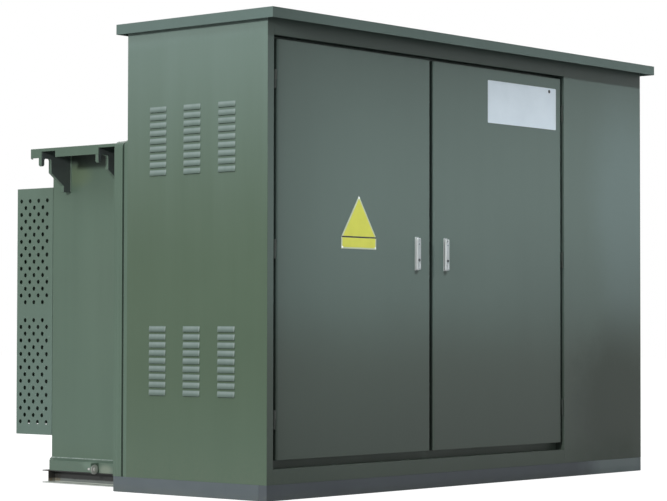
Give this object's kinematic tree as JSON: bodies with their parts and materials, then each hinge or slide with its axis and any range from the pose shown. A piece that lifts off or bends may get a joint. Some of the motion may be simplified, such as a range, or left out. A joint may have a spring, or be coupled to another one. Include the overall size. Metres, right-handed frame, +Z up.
{
  "type": "compact substation",
  "caption": "Pad-mounted transformer substation: two-door sheet-steel switch cabinet before a finned oil tank with lifting lugs and perforated radiator guards.",
  "frame": {"origin": "on the ground, under the middle of the overall box", "axes": "+X to the right along the doors, +Y from the doors towards the tank and radiators, +Z up"},
  "size_m": [3.244, 2.114, 2.3],
  "materials": {
    "green_enamel": "semi-gloss grey-green enamel",
    "base_paint": "grey paint under dust and splashed dirt",
    "channel_steel": "dull brown-grey primer with light rust",
    "handle_metal": "satin zinc casting",
    "bolt_steel": "bright zinc",
    "yellow_sign": "gloss yellow",
    "pale_plate": "satin pale plate",
    "seal_rubber": "matt black rubber"
  },
  "bodies": {
    "cabinet_and_tank": {"base_front": "base_paint", "base_sides": "base_paint", "base_rear": "base_paint", "cabinet_floor": "base_paint", "side_wall_left": "green_enamel", "side_wall_right": "green_enamel", "rear_wall": "green_enamel", "roof": "green_enamel", "corner_post": "green_enamel", "top_rail": "green_enamel", "sill": "green_enamel", "fixed_panel": "green_enamel", "door_stop": "green_enamel", "frame_hinges": "green_enamel", "flange_frame": "green_enamel", "flange_seal": "seal_rubber", "tank_front_plate": "green_enamel", "tank_body": "green_enamel", "tank_lid": "green_enamel", "tank_skirt": "green_enamel", "lifting_lugs_left": "green_enamel", "lifting_lugs_right": "green_enamel", "side_channels": "channel_steel", "cross_channels": "channel_steel", "earth_lug": "green_enamel", "earth_bolt": "bolt_steel", "radiator_1": "green_enamel", "radiator_2": "green_enamel", "radiator_3": "green_enamel", "radiator_4": "green_enamel", "radiator_5": "green_enamel", "guard_left": "green_enamel", "guard_right": "green_enamel", "guard_brackets": "green_enamel"},
    "left_door": {"door_left": "green_enamel", "door_hinges_left": "green_enamel", "handle_base_left": "handle_metal", "sign_plate": "yellow_sign"},
    "right_door": {"door_right": "green_enamel", "door_hinges_right": "green_enamel", "handle_base_right": "handle_metal", "name_plate": "pale_plate"},
    "left_lever": {"handle_lever_left": "handle_metal"},
    "right_lever": {"handle_lever_right": "handle_metal"}
  },
  "joints": [
    {"name": "left_door_hinge", "type": "hinge", "parent": "cabinet_and_tank", "child": "left_door", "pos_m": [-1.5185, -0.975, 1.177], "axis": [0, 0, -1], "range_deg": [0, 110]},
    {"name": "right_door_hinge", "type": "hinge", "parent": "cabinet_and_tank", "child": "right_door", "pos_m": [0.8185, -0.979, 1.177], "axis": [0, 0, 1], "range_deg": [0, 105]},
    {"name": "left_lever_pivot", "type": "hinge", "parent": "left_door", "child": "left_lever", "pos_m": [-0.452, -0.991, 1.254], "axis": [-1, 0, 0], "range_deg": [0, 30]},
    {"name": "right_lever_pivot", "type": "hinge", "parent": "right_door", "child": "right_lever", "pos_m": [-0.218, -0.991, 1.254], "axis": [-1, 0, 0], "range_deg": [0, 30]}
  ]
}
